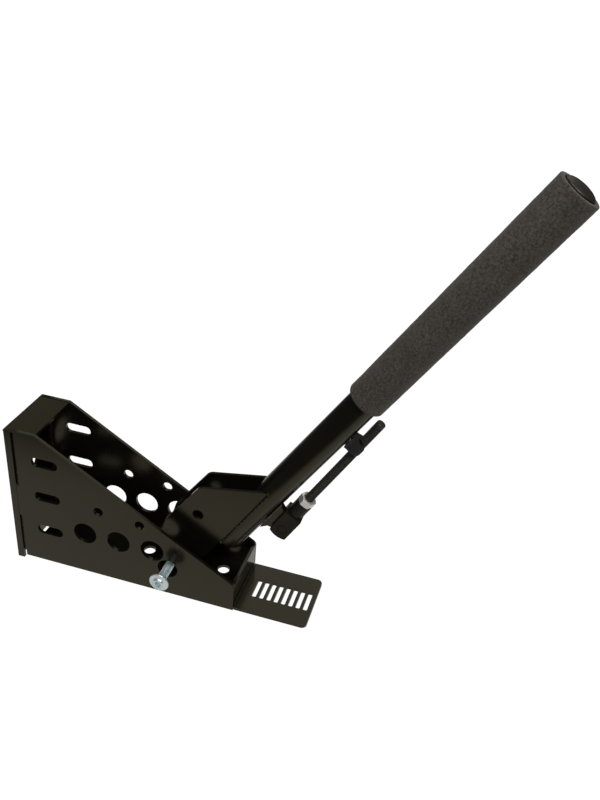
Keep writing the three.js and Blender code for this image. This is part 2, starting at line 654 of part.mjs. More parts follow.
function strutRod() {
  const profile = [
    [0, ROD_START],
    [ROD_RADIUS, ROD_START],
    [ROD_RADIUS, ROD_END - ROD_CHAMFER],
    [ROD_RADIUS - ROD_CHAMFER, ROD_END],
    [0, ROD_END],
  ];
  const points = profile.map(([radius, y]) => new THREE.Vector2(radius, y));
  return toSolid(new THREE.LatheGeometry(points, SIDES).rotateX(Math.PI / 2));
}

function jamNut() {
  const end = JAM_NUT_START + JAM_NUT_HEIGHT;
  const hexagon = barAlongZ(hexCorner(NUT_ACROSS), JAM_NUT_START, end, 6);
  const bore = barAlongZ(ROD_RADIUS + GAP, JAM_NUT_START - BOOLEAN_MARGIN, end + BOOLEAN_MARGIN);
  return hexagon.subtract(bore);
}

function frameGroup() {
  const frame = new THREE.Group();
  const outline = sidePlateOutline();
  addPiece(frame, 'base_plate', basePlate(), paint);
  addPiece(frame, 'front_wall', frontWall(), paint);
  addPiece(frame, 'side_plate_right', plateAcrossY(outline, -HALF_WIDTH, -PLATE_INNER_Y), paint);
  addPiece(frame, 'side_plate_left', plateAcrossY(outline, PLATE_INNER_Y, HALF_WIDTH), paint);
  addPiece(frame, 'rear_plate', rearPlate(), paint);

  const pivot = new THREE.Group();
  pivot.position.set(0, 0, PIVOT_HEIGHT);
  addPiece(pivot, 'pivot_bolt', pivotBolt(), zinc);
  addPiece(pivot, 'pivot_spacer_right', cupSpacer(-1), blackSteel);
  addPiece(pivot, 'pivot_spacer_left', cupSpacer(1), blackSteel);
  addPiece(pivot, 'pivot_washer', pivotWasher(), zinc);
  addPiece(pivot, 'pivot_nut', pivotNut(), zinc);
  frame.add(pivot);
  return frame;
}

function strutGroup() {
  const strut = new THREE.Group();
  strut.position.set(STRUT_PIN.x, 0, STRUT_PIN.z);
  strut.rotation.y = THREE.MathUtils.degToRad(-STRUT_TOWARDS_LEVER_DEG);
  const pinReach = FORK_SIZE / 2;
  addPiece(strut, 'strut_fork', strutFork(), blackSteel);
  addPiece(strut, 'strut_pin', barAlongY(PIN_RADIUS, -pinReach, pinReach, 0, 0), blackSteel);
  addPiece(strut, 'strut_rod', strutRod(), blackSteel);
  addPiece(strut, 'strut_jam_nut', jamNut(), zinc);
  return strut;
}

function leverGroup() {
  const lever = new THREE.Group();
  lever.position.set(LEVER_FOOT_X, 0, 0);
  lever.rotation.y = THREE.MathUtils.degToRad(LEVER_LEAN_DEG);
  addPiece(lever, 'lever_tube', leverTube(), paint);
  addPiece(lever, 'cheek_right', cheek(-CHEEK_OUTER_Y, -CHEEK_INNER_Y), paint);
  addPiece(lever, 'cheek_left', cheek(CHEEK_INNER_Y, CHEEK_OUTER_Y), paint);
  addPiece(lever, 'pivot_sleeve', pivotSleeve(), blackSteel);
  addPiece(lever, 'foam_grip', foamGrip(), foam);
  addPiece(lever, 'grip_end_cap', gripEndCap(), rubber);
  addPiece(lever, 'strut_tab', strutTab(), paint);
  addPiece(lever, 'strut_clip', strutClip(), rubber);
  addPiece(lever, 'clip_screw', clipScrew(), zinc);
  lever.add(strutGroup());
  return lever;
}

const handbrake = new THREE.Group();
handbrake.add(frameGroup());
handbrake.add(leverGroup());

export default handbrake;
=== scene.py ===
"""Looks for the handbrake lever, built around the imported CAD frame. Units are metres."""

import json
import math

import bmesh
import bpy
from mathutils import Matrix, Vector, noise


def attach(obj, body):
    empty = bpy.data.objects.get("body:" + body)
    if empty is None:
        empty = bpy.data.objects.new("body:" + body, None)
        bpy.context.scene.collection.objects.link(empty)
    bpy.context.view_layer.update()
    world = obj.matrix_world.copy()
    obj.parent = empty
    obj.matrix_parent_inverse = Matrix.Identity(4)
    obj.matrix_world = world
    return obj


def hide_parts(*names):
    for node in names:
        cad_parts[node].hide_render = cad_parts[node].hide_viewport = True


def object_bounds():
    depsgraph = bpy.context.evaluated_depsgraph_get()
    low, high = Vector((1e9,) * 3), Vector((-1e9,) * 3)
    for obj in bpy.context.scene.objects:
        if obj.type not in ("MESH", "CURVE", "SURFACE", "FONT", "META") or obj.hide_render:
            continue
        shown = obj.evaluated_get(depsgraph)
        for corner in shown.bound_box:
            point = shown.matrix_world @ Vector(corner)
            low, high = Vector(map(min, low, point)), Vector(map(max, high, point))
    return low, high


MM = 0.001

# Places of the lever's and the strut's own frames, in millimetres and degrees.
LEVER_FOOT_X = 9.7
LEVER_LEAN = 32.23
STRUT_TOWARDS_LEVER = 2.24

# Sizes shared with the CAD model, in millimetres.
CHEEK_TOP = 142.7
TUBE_BOTTOM = 67.0
WALL_FRONT = 62.5
WALL_TOP = 27.4
SHEET = 3.0
PLATE_INNER = 28.5

# The M8 bolt and its lock nut, along the pivot from right to left.
BOLT_SEAT = -49.3
BOLT_TIP = 30.7
BOLT_RADIUS = 4.0
HEAD_HEIGHT = 3.6
FLANGE_RADIUS = 8.9
FLANGE_HEIGHT = 1.2
SOCKET_ACROSS = 5.0
SOCKET_DEPTH = 2.4
THREAD_PITCH = 1.25
NUT_ACROSS = 13.0
NUT_BORE = 4.1
NUT_LOW = 22.2
NUT_HEX_HEIGHT = 6.0
NUT_HEIGHT = 8.0
NUT_COLLAR_RADIUS = 5.6

# The strut, along its rod from the pin.
ROD_RADIUS = 3.9
ROD_START = 18.0
ROD_END = 140.3
ROD_TIP_LENGTH = 2.0
ROD_TIP_ROUND = 1.2
STRUT_NUT_LOW = 32.3
STRUT_NUT_HEIGHT = 6.6

# The foam grip, along the tube. It widens a little towards the top.
GRIP_LOW = 263.7
GRIP_HIGH = 480.3
GRIP_BORE = 13.3
GRIP_LOW_RADIUS = 16.2
GRIP_HIGH_RADIUS = 16.75
GRIP_LOW_EDGE = 2.5
GRIP_HIGH_EDGE = 0.8

# The clip: its place along the tube, and its reach out from the tube's axis.
CLIP_LOW = 221.5
CLIP_HIGH = 234.2
CLIP_ROOT = 13.3
CLIP_FLOOR = 18.2
CLIP_REACH = 26.4
CLIP_MOUTH = 4.28
CLIP_HALF_WIDTH = 6.5

# The weld seams behind the slits between the side plates and the rear plate.
SEAM_X = -144.0
SEAM_Y = 27.8
SEAM_TOP = 135.0

# Camera: where it stands, what it looks at, and how far it is rolled.
CAMERA_PLACE = (0.2273, -0.5453, 0.5504)
CAMERA_LOOK = (-0.19597, 0.83285, -0.51765)
CAMERA_ROLL = 5.26
CAMERA_LENS = 37.56

# The floor as reflections see it: how bright, and where it fades out, in metres.
FLOOR_GLOW = 0.62
FLOOR_DIM = 0.05
FLOOR_DARK_Y = -0.25
FLOOR_BRIGHT_Y = -0.15
FLOOR_DARK_X = -0.42
FLOOR_BRIGHT_X = -0.28

# How bright the background looks to the camera, and how bright the world is in reflections.
SEEN_WHITE = 1.05
WORLD_DIM = 0.06

# The soft boxes: name, place, point looked at, width, height, brightness and tint. Metres.
MIDDLE = (0.05, 0, 0.12)
LIGHTS = [
    ("overhead", (0.0, -0.1, 1.5), MIDDLE, 1.0, 0.8, 2.0, (1, 1, 1)),
    ("lamp", (0.8, -0.6, 1.4), MIDDLE, 0.3, 0.2, 38.0, (1, 1, 1)),
    ("left_panel", (-1.3, 1.3, 1.35), (-0.14, 0, 0.14), 0.8, 0.9, 0.24, (1.0, 0.9, 0.6)),
    ("back_panel", (0.05, 1.5, 1.5), (0.05, 0, 0.0), 1.5, 1.1, 0.72, (1.0, 0.99, 0.95)),
    ("front_fill", (0.1, -1.3, 1.25), MIDDLE, 0.9, 0.6, 4.0, (1, 1, 1)),
]


# ---------------------------------------------------------------- frames


def lever_frame():
    lean = Matrix.Rotation(math.radians(LEVER_LEAN), 4, "Y")
    return Matrix.Translation((LEVER_FOOT_X * MM, 0, 0)) @ lean @ Matrix.Scale(MM, 4)


def strut_frame(joints):
    pin = next(joint["pos_m"] for joint in joints if joint["child"] == "strut")
    lean = Matrix.Rotation(math.radians(LEVER_LEAN - STRUT_TOWARDS_LEVER), 4, "Y")
    return Matrix.Translation(pin) @ lean @ Matrix.Scale(MM, 4)


def pivot_frame(joints):
    """The pivot's own frame: its Z axis runs along the row's Y axis."""
    pivot = next(joint["pos_m"] for joint in joints if joint["child"] == "lever")
    turn = Matrix.Rotation(math.radians(-90), 4, "X")
    return Matrix.Translation(pivot) @ turn @ Matrix.Scale(MM, 4)


# ---------------------------------------------------------------- mesh helpers


def add_object(name, bm, place, material, body):
    """Turns a bmesh in millimetres into a piece of the object that rides on a body."""
    bmesh.ops.remove_doubles(bm, verts=bm.verts, dist=1e-4)
    bmesh.ops.dissolve_degenerate(bm, edges=bm.edges, dist=1e-4)
    bmesh.ops.recalc_face_normals(bm, faces=bm.faces)
    mesh = bpy.data.meshes.new(name)
    bm.to_mesh(mesh)
    bm.free()
    mesh.transform(place)
    mesh.materials.append(material)
    obj = bpy.data.objects.new(name, mesh)
    bpy.context.scene.collection.objects.link(obj)
    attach(obj, body)
    add_smoothing(obj)
    return obj


def smooth_group(limit_deg):
    """A geometry node group that shades faces smooth and edges above the limit sharp."""
    name = f"smooth_below_{limit_deg}"
    if name in bpy.data.node_groups:
        return bpy.data.node_groups[name]
    group = bpy.data.node_groups.new(name, "GeometryNodeTree")
    group.interface.new_socket("Geometry", in_out="INPUT", socket_type="NodeSocketGeometry")
    group.interface.new_socket("Geometry", in_out="OUTPUT", socket_type="NodeSocketGeometry")
    start = group.nodes.new("NodeGroupInput")
    end = group.nodes.new("NodeGroupOutput")
    smooth = group.nodes.new("GeometryNodeSetShadeSmooth")
    sharp = group.nodes.new("GeometryNodeSetShadeSmooth")
    angle = group.nodes.new("GeometryNodeInputMeshEdgeAngle")
    above = group.nodes.new("FunctionNodeCompare")
    sharp.domain = "EDGE"
    sharp.inputs["Shade Smooth"].default_value = False
    above.operation = "GREATER_THAN"
    above.inputs[1].default_value = math.radians(limit_deg)
    group.links.new(angle.outputs["Unsigned Angle"], above.inputs[0])
    group.links.new(start.outputs[0], smooth.inputs["Geometry"])
    group.links.new(smooth.outputs[0], sharp.inputs["Geometry"])
    group.links.new(above.outputs[0], sharp.inputs["Selection"])
    group.links.new(sharp.outputs[0], end.inputs[0])
    return group


def add_smoothing(obj, limit_deg=32):
    modifier = obj.modifiers.new("smooth", "NODES")
    modifier.node_group = smooth_group(limit_deg)


def dress_node(node, material, edge_mm=0.0, segments=2):
    """Gives a CAD node its material and rounds its sharp edges."""
    obj = FRAME["nodes"][node]
    obj.data.materials.clear()
    obj.data.materials.append(material)
    weld = obj.modifiers.new("weld", "WELD")
    weld.merge_threshold = 0.002 * MM
    if edge_mm:
        bevel = obj.modifiers.new("edges", "BEVEL")
        bevel.width = edge_mm * MM
        bevel.segments = segments
        bevel.limit_method = "ANGLE"
        bevel.angle_limit = math.radians(40)
    add_smoothing(obj)
    flat = obj.modifiers.new("flat_faces", "WEIGHTED_NORMAL")
    flat.keep_sharp = True
    flat.weight = 80
    return obj


def grid_faces(bm, rows, closed=True):
    """Joins neighbouring rows of vertices with four-sided faces."""
    for low, high in zip(rows, rows[1:]):
        count = len(low)
        for i in range(count if closed else count - 1):
            j = (i + 1) % count
            bm.faces.new((low[i], low[j], high[j], high[i]))


def turned_mesh(profile, sides):
    """A turned solid on the Z axis. The profile holds (radius, z); a zero radius closes an end."""
    bm = bmesh.new()
    rows = []
    for radius, z in profile:
        row = []
        for i in range(sides):
            angle = 2 * math.pi * i / sides
            row.append(bm.verts.new((radius * math.cos(angle), radius * math.sin(angle), z)))
        rows.append(row)
    grid_faces(bm, rows)
    return bm


def arc(centre_r, centre_z, radius, start_deg, end_deg, steps=6):
    """Profile points on an arc, in (radius, z)."""
    points = []
    for step in range(steps + 1):
        angle = math.radians(start_deg + (end_deg - start_deg) * step / steps)
        points.append((centre_r + radius * math.cos(angle), centre_z + radius * math.sin(angle)))
    return points


def threaded_mesh(low, high, radius, pitch, taper=1.5, sides=28):
    """A screw thread on the Z axis from low to high, with tapered ends."""
    depth = 0.58 * pitch
    shape = [0.0, 0.35, 1.0, 1.0, 0.35, 0.0]
    steps = len(shape)
    turns = math.ceil((high - low) / pitch) + 2
    bm = bmesh.new()
    columns = []
    for side in range(sides + 1):
        share = side / sides
        angle = 2 * math.pi * share
        column = []
        for row in range(turns * steps):
            z = low + pitch * (row / steps + share - 1.5)
            z = min(max(z, low), high)
            edge = min(z - low, high - z)
            fade = min(1.0, max(0.0, edge / taper))
            r = radius - depth + depth * shape[row % steps] * fade
            column.append(bm.verts.new((r * math.cos(angle), r * math.sin(angle), z)))
        columns.append(column)
    for left, right in zip(columns, columns[1:]):
        for row in range(turns * steps - 1):
            bm.faces.new((left[row], right[row], right[row + 1], left[row + 1]))
    bmesh.ops.remove_doubles(bm, verts=bm.verts, dist=1e-4)
    bmesh.ops.dissolve_degenerate(bm, edges=bm.edges, dist=1e-4)
    rims = [edge for edge in bm.edges if edge.is_boundary]
    bmesh.ops.holes_fill(bm, edges=rims)
    return bm


def hex_radius(angle, across):
    """Distance from the axis to the side of a hexagon."""
    sector = math.radians(60)
    return across / 2 / math.cos((angle % sector) - sector / 2)


def hex_nut_mesh(low, high, across, bore, collar=None, sides=96):
    """A hexagon nut with chamfered corners, on the Z axis. A collar is (radius, top)."""
    drop = math.tan(math.radians(30))
    crown = across / 2 * 0.96
    bm = bmesh.new()
    rows = [[] for _ in range(8)]
    for i in range(sides):
        angle = 2 * math.pi * i / sides
        corner = hex_radius(angle, across)
        cut = max(0.0, corner - crown) * drop
        profile = [
            (bore, low + 0.6), (bore + 0.6, low), (crown, low), (corner, low + cut),
            (corner, high - cut), (crown, high), (bore + 0.6, high), (bore, high - 0.6),
        ]
        if collar:
            profile[5:] = [(collar[0], high), (collar[0] - 0.8, collar[1]), (bore, collar[1] - 0.6)]
        for row, (radius, z) in zip(rows, profile):
            row.append(bm.verts.new((radius * math.cos(angle), radius * math.sin(angle), z)))
    grid_faces(bm, rows + [rows[0]])
    return bm


def bead_mesh(points, radius, squash=0.7, ripple=1.5, sides=12):
    """A weld bead along a list of points: overlapping ripples that taper at both ends."""
    bm = bmesh.new()
    lengths = [0.0]
    for start, end in zip(points, points[1:]):
        lengths.append(lengths[-1] + (Vector(end) - Vector(start)).length)
    total = lengths[-1]
    count = max(8, int(total / 0.35))
    rows = []
    for step in range(count + 1):
        along = total * step / count
        index = max(i for i in range(len(lengths)) if lengths[i] <= along + 1e-6)
        index = min(index, len(points) - 2)
        start, end = Vector(points[index]), Vector(points[index + 1])
        part = (along - lengths[index]) / max(1e-6, lengths[index + 1] - lengths[index])
        centre = start.lerp(end, part)
        tangent = (end - start).normalized()
        side = tangent.orthogonal().normalized()
        other = tangent.cross(side)
        wave = (along / ripple) % 1.0
        swell = 1.0 + 0.16 * math.sqrt(1.0 - wave) + 0.08 * noise.noise(centre * 0.6)
        ends = min(1.0, (min(along, total - along) + 0.05) / radius)
        size = radius * swell * math.sqrt(max(0.02, ends * (2 - ends)))
        row = []
        for i in range(sides):
            angle = 2 * math.pi * i / sides
            spot = centre + side * (size * math.cos(angle)) + other * (size * math.sin(angle))
            row.append(bm.verts.new(spot))
        rows.append(row)
    grid_faces(bm, rows)
    bm.faces.new(rows[0])
    bm.faces.new(rows[-1])
    return bm


# ---------------------------------------------------------------- materials


def new_material(name):
    material = bpy.data.materials.new(name)
    material.use_nodes = True
    nodes = material.node_tree.nodes
    links = material.node_tree.links
    shader = next(node for node in nodes if node.type == "BSDF_PRINCIPLED")
    place = nodes.new("ShaderNodeTexCoord").outputs["Object"]
    return material, nodes, links, shader, place


def noise_texture(nodes, links, place, scale, detail=3.0, rough=0.55):
    texture = nodes.new("ShaderNodeTexNoise")
    texture.inputs["Scale"].default_value = scale
    texture.inputs["Detail"].default_value = detail
    texture.inputs["Roughness"].default_value = rough
    links.new(place, texture.inputs["Vector"])
    return texture.outputs["Fac"]


def ramp(nodes, links, value, stops):
    """A colour ramp. Stops are (position, colour)."""
    node = nodes.new("ShaderNodeValToRGB")
    elements = node.color_ramp.elements
    while len(elements) < len(stops):
        elements.new(0.5)
    for element, (position, colour) in zip(elements, stops):
        element.position = position
        element.color = (*colour, 1)
    links.new(value, node.inputs["Fac"])
    return node.outputs["Color"]


def spread(nodes, links, value, low, high):
    """Maps a 0 to 1 value to a low to high value."""
    node = nodes.new("ShaderNodeMapRange")
    node.inputs["To Min"].default_value = low
    node.inputs["To Max"].default_value = high
    node.inputs["From Min"].default_value = 0.3
    node.inputs["From Max"].default_value = 0.7
    links.new(value, node.inputs["Value"])
    return node.outputs["Result"]


def bump(nodes, links, height, distance_mm, strength, under=None):
    node = nodes.new("ShaderNodeBump")
    node.inputs["Distance"].default_value = distance_mm * MM
    node.inputs["Strength"].default_value = strength
    links.new(height, node.inputs["Height"])
    if under:
        links.new(under, node.inputs["Normal"])
    return node.outputs["Normal"]


def powder_coat():
    """Gloss black powder coat: orange peel, faint handling marks and a warm cast."""
    material, nodes, links, shader, place = new_material("gloss_powder_coat")
    broad = noise_texture(nodes, links, place, 14, 4)
    peel = noise_texture(nodes, links, place, 520, 2)
    grit = noise_texture(nodes, links, place, 2600, 1)
    colour = ramp(nodes, links, broad, [(0.3, (0.0042, 0.0038, 0.0026)), (0.7, (0.0075, 0.0068, 0.0048))])
    links.new(colour, shader.inputs["Base Color"])
    links.new(spread(nodes, links, broad, 0.17, 0.24), shader.inputs["Roughness"])
    shader.inputs["Specular IOR Level"].default_value = 0.46
    shader.inputs["Specular Tint"].default_value = (1.0, 0.89, 0.56, 1)
    first = bump(nodes, links, peel, 0.025, 0.45)
    links.new(bump(nodes, links, grit, 0.004, 0.25, first), shader.inputs["Normal"])
    return material


def black_steel(name, dark, pale, shine):
    """Blackened steel: satin, mottled, with paler rubbed patches."""
    material, nodes, links, shader, place = new_material(name)
    broad = noise_texture(nodes, links, place, 90, 4)
    fine = noise_texture(nodes, links, place, 1500, 3)
    colour = ramp(nodes, links, broad, [(0.3, dark), (0.72, pale)])
    links.new(colour, shader.inputs["Base Color"])
    links.new(spread(nodes, links, fine, 0.32, 0.5), shader.inputs["Roughness"])
    shader.inputs["Specular IOR Level"].default_value = shine
    shader.inputs["Specular Tint"].default_value = (1.0, 0.94, 0.74, 1)
    links.new(bump(nodes, links, fine, 0.02, 0.4), shader.inputs["Normal"])
    return material


def zinc_plate(name, dark, pale):
    """Bright zinc plating: pale metal with fine turning marks."""
    material, nodes, links, shader, place = new_material(name)
    broad = noise_texture(nodes, links, place, 260, 3)
    fine = noise_texture(nodes, links, place, 3200, 2)
    colour = ramp(nodes, links, broad, [(0.3, dark), (0.7, pale)])
    links.new(colour, shader.inputs["Base Color"])
    shader.inputs["Metallic"].default_value = 0.65
    links.new(spread(nodes, links, broad, 0.2, 0.36), shader.inputs["Roughness"])
    links.new(bump(nodes, links, fine, 0.006, 0.3), shader.inputs["Normal"])
    return material


def foam_skin():
    """Charcoal closed-cell foam: pores, pale flecks and a soft sheen."""
    material, nodes, links, shader, place = new_material("charcoal_foam")
    cells = nodes.new("ShaderNodeTexVoronoi")
    cells.inputs["Scale"].default_value = 900
    links.new(place, cells.inputs["Vector"])
    broad = noise_texture(nodes, links, place, 60, 4)
    fleck = noise_texture(nodes, links, place, 560, 6, 0.8)
    base = ramp(nodes, links, fleck, [(0.36, (0.02, 0.0155, 0.0105)), (0.64, (0.125, 0.108, 0.09))])
    tone = ramp(nodes, links, broad, [(0.3, (0.8, 0.78, 0.74)), (0.7, (1.0, 1.0, 1.0))])
    mix = nodes.new("ShaderNodeMix")
    mix.data_type = "RGBA"
    mix.blend_type = "MULTIPLY"
    mix.inputs["Factor"].default_value = 1.0
    links.new(base, mix.inputs["A"])
    links.new(tone, mix.inputs["B"])
    links.new(mix.outputs["Result"], shader.inputs["Base Color"])
    shader.inputs["Roughness"].default_value = 0.9
    shader.inputs["Sheen Weight"].default_value = 0.12
    first = bump(nodes, links, cells.outputs["Distance"], 0.18, 0.5)
    links.new(bump(nodes, links, fleck, 0.1, 0.6, first), shader.inputs["Normal"])
    return material


def moulded_rubber():
    """Black moulded rubber: satin with a faint grain."""
    material, nodes, links, shader, place = new_material("moulded_rubber")
    broad = noise_texture(nodes, links, place, 120, 3)
    fine = noise_texture(nodes, links, place, 1800, 2)
    colour = ramp(nodes, links, broad, [(0.3, (0.012, 0.0115, 0.009)), (0.7, (0.022, 0.021, 0.017))])
    links.new(colour, shader.inputs["Base Color"])
    links.new(spread(nodes, links, fine, 0.38, 0.52), shader.inputs["Roughness"])
    links.new(bump(nodes, links, fine, 0.02, 0.3), shader.inputs["Normal"])
    return material


# ---------------------------------------------------------------- stage


def make_camera():
    data = bpy.data.cameras.new("camera")
    data.lens = CAMERA_LENS
    data.sensor_width = 36
    data.clip_start = 0.02
    data.clip_end = 20
    camera = bpy.data.objects.new("camera", data)
    turn = Vector(CAMERA_LOOK).to_track_quat("-Z", "Y").to_matrix().to_4x4()
    roll = Matrix.Rotation(math.radians(CAMERA_ROLL), 4, "Z")
    camera.matrix_world = Matrix.Translation(CAMERA_PLACE) @ turn @ roll
    bpy.context.scene.collection.objects.link(camera)
    bpy.context.scene.camera = camera


def make_floor(level):
    """A white sheet to the camera. To reflections it is a pale sheet that fades out at the front."""
    material = bpy.data.materials.new("pale_floor")
    material.use_nodes = True
    nodes = material.node_tree.nodes
    links = material.node_tree.links
    nodes.clear()
    place = nodes.new("ShaderNodeTexCoord").outputs["Object"]
    axes = nodes.new("ShaderNodeSeparateXYZ")
    links.new(place, axes.inputs["Vector"])
    fades = []
    limits = (("Y", FLOOR_DARK_Y, FLOOR_BRIGHT_Y), ("X", FLOOR_DARK_X, FLOOR_BRIGHT_X))
    for axis, dark, bright in limits:
        fade = nodes.new("ShaderNodeMapRange")
        fade.interpolation_type = "SMOOTHSTEP"
        fade.inputs["From Min"].default_value = dark
        fade.inputs["From Max"].default_value = bright
        links.new(axes.outputs[axis], fade.inputs["Value"])
        fades.append(fade.outputs["Result"])
    both = nodes.new("ShaderNodeMath")
    both.operation = "MULTIPLY"
    links.new(fades[0], both.inputs[0])
    links.new(fades[1], both.inputs[1])
    level_of_glow = nodes.new("ShaderNodeMapRange")
    level_of_glow.inputs["To Min"].default_value = FLOOR_DIM
    level_of_glow.inputs["To Max"].default_value = FLOOR_GLOW
    links.new(both.outputs[0], level_of_glow.inputs["Value"])
    reflected = nodes.new("ShaderNodeEmission")
    reflected.inputs["Color"].default_value = (1.0, 0.985, 0.95, 1)
    links.new(level_of_glow.outputs["Result"], reflected.inputs["Strength"])
    seen = nodes.new("ShaderNodeEmission")
    seen.inputs["Strength"].default_value = SEEN_WHITE
    path = nodes.new("ShaderNodeLightPath")
    mix = nodes.new("ShaderNodeMixShader")
    end = nodes.new("ShaderNodeOutputMaterial")
    links.new(path.outputs["Is Camera Ray"], mix.inputs["Fac"])
    links.new(reflected.outputs[0], mix.inputs[1])
    links.new(seen.outputs[0], mix.inputs[2])
    links.new(mix.outputs[0], end.inputs["Surface"])
    bm = bmesh.new()
    bmesh.ops.create_grid(bm, x_segments=1, y_segments=1, size=1.0)
    mesh = bpy.data.meshes.new("floor")
    bm.to_mesh(mesh)
    bm.free()
    mesh.transform(Matrix.Translation((0.2, 0.35, level)) @ Matrix.Diagonal((0.75, 0.75, 1, 1)))
    mesh.materials.append(material)
    floor = bpy.data.objects.new("floor", mesh)
    bpy.context.scene.collection.objects.link(floor)


def make_world():
    """White to the camera, dark to everything else, so that black gloss stays black."""
    world = bpy.data.worlds.new("studio")
    bpy.context.scene.world = world
    world.use_nodes = True
    nodes = world.node_tree.nodes
    links = world.node_tree.links
    nodes.clear()
    seen = nodes.new("ShaderNodeBackground")
    seen.inputs["Color"].default_value = (1, 1, 1, 1)
    seen.inputs["Strength"].default_value = SEEN_WHITE
    other = nodes.new("ShaderNodeBackground")
    other.inputs["Color"].default_value = (1.0, 0.98, 0.95, 1)
    other.inputs["Strength"].default_value = WORLD_DIM
    path = nodes.new("ShaderNodeLightPath")
    mix = nodes.new("ShaderNodeMixShader")
    end = nodes.new("ShaderNodeOutputWorld")
    links.new(path.outputs["Is Camera Ray"], mix.inputs["Fac"])
    links.new(other.outputs[0], mix.inputs[1])
    links.new(seen.outputs[0], mix.inputs[2])
    links.new(mix.outputs[0], end.inputs["Surface"])


def soft_box(name, place, look_at, width, height, radiance, tint):
    """An area light, given by how bright its face looks."""
    data = bpy.data.lights.new(name, "AREA")
    data.shape = "RECTANGLE"
    data.size = width
    data.size_y = height
    data.energy = radiance * math.pi * width * height
    data.color = tint
    light = bpy.data.objects.new(name, data)
    aim = Vector(look_at) - Vector(place)
    light.location = place
    light.rotation_mode = "QUATERNION"
    light.rotation_quaternion = aim.to_track_quat("-Z", "Y")
    bpy.context.scene.collection.objects.link(light)


def make_lights():
    for light in LIGHTS:
        soft_box(*light)


# ---------------------------------------------------------------- pieces


def make_pivot_bolt(place, metal):
    """The flanged button-head bolt: head, hex socket and a rolled thread."""
    seat = BOLT_SEAT
    flange = seat - FLANGE_HEIGHT
    face = seat - HEAD_HEIGHT
    rim_z = face + 0.15
    edge = FLANGE_RADIUS
    head = turned_mesh(
        [
            (0, seat), (BOLT_RADIUS, seat), (edge - 0.2, seat), (edge, seat - 0.2),
            (edge, flange + 0.3), (edge - 0.3, flange), (5.5, flange - 0.6), (5.2, face + 1.3),
            (5.0, face + 0.5), (4.6, face + 0.1), (4.3, face), (3.4, face), (3.15, rim_z),
        ],
        72,
    )
    rim = [v for v in head.verts if abs(v.co.z - rim_z) < 1e-5]
    rim.sort(key=lambda v: math.atan2(v.co.y, v.co.x))
    socket = [[], []]
    for v in rim:
        angle = math.atan2(v.co.y, v.co.x)
        radius = hex_radius(angle, SOCKET_ACROSS)
        spot = (radius * math.cos(angle), radius * math.sin(angle))
        for row, depth in zip(socket, (0.35, SOCKET_DEPTH)):
            row.append(head.verts.new((*spot, face + depth)))
    grid_faces(head, [rim, *socket])
    head.faces.new(socket[-1])
    add_object("pivot_bolt_head", head, place, metal, "frame")
    shank = threaded_mesh(seat - 0.1, BOLT_TIP, BOLT_RADIUS, THREAD_PITCH, taper=1.0)
    bolt = add_object("pivot_bolt_thread", shank, place, metal, "frame")
    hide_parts("pivot_bolt")


def make_pivot_nut(place, metal):
    """The self-locking nut: a hexagon with a round collar."""
    hex_top = NUT_LOW + NUT_HEX_HEIGHT
    collar = (NUT_COLLAR_RADIUS, NUT_LOW + NUT_HEIGHT)
    nut = hex_nut_mesh(NUT_LOW, hex_top, NUT_ACROSS, NUT_BORE, collar=collar)
    obj = add_object("pivot_lock_nut", nut, place, metal, "frame")
    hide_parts("pivot_nut")


def make_strut(place, steel, metal):
    """The strut's threaded rod, its rounded tip and its jam nut."""
    thread_end = ROD_END - ROD_TIP_LENGTH
    rod = threaded_mesh(ROD_START, thread_end, ROD_RADIUS + 0.05, THREAD_PITCH, taper=0.8)
    obj = add_object("strut_rod_thread", rod, place, steel, "strut")
    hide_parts("strut_rod")
    tip_low = ROD_END - 3.7
    tip = turned_mesh(
        [(0, tip_low), (ROD_RADIUS - 0.4, tip_low), (ROD_RADIUS, tip_low + 0.4)]
        + arc(ROD_RADIUS - ROD_TIP_ROUND, ROD_END - ROD_TIP_ROUND, ROD_TIP_ROUND, 0, 90, 6)
        + [(0, ROD_END)],
        40,
    )
    add_object("strut_rod_tip", tip, place, steel, "strut")
    nut_top = STRUT_NUT_LOW + STRUT_NUT_HEIGHT
    nut = hex_nut_mesh(STRUT_NUT_LOW, nut_top, NUT_ACROSS, NUT_BORE)
    obj = add_object("strut_thin_nut", nut, place, metal, "strut")
    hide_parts("strut_jam_nut")


def make_grip(place, foam):
    """The foam sleeve: a soft tube with rolled ends and a slightly uneven skin."""
    rings = 230
    start = GRIP_LOW + GRIP_LOW_EDGE
    end = GRIP_HIGH - GRIP_HIGH_EDGE
    outer = arc(GRIP_LOW_RADIUS - GRIP_LOW_EDGE, start, GRIP_LOW_EDGE, -90, 0, 8)
    for ring in range(1, rings):
        share = ring / rings
        radius = GRIP_LOW_RADIUS + (GRIP_HIGH_RADIUS - GRIP_LOW_RADIUS) * share
        outer.append((radius, start + (end - start) * share))
    outer += arc(GRIP_HIGH_RADIUS - GRIP_HIGH_EDGE, end, GRIP_HIGH_EDGE, 0, 90, 6)
    profile = [(GRIP_BORE, GRIP_LOW), *outer, (GRIP_BORE, GRIP_HIGH), (GRIP_BORE, GRIP_LOW)]
    bm = turned_mesh(profile, 128)
    for v in bm.verts:
        radius = math.hypot(v.co.x, v.co.y)
        if radius < GRIP_BORE + 0.3:
            continue
        push = 0.10 * noise.noise(v.co * 0.9) + 0.16 * noise.noise(v.co * 0.11)
        v.co.x *= 1 + push / radius
        v.co.y *= 1 + push / radius
    obj = add_object("foam_sleeve", bm, place, foam, "lever")
    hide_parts("foam_grip")


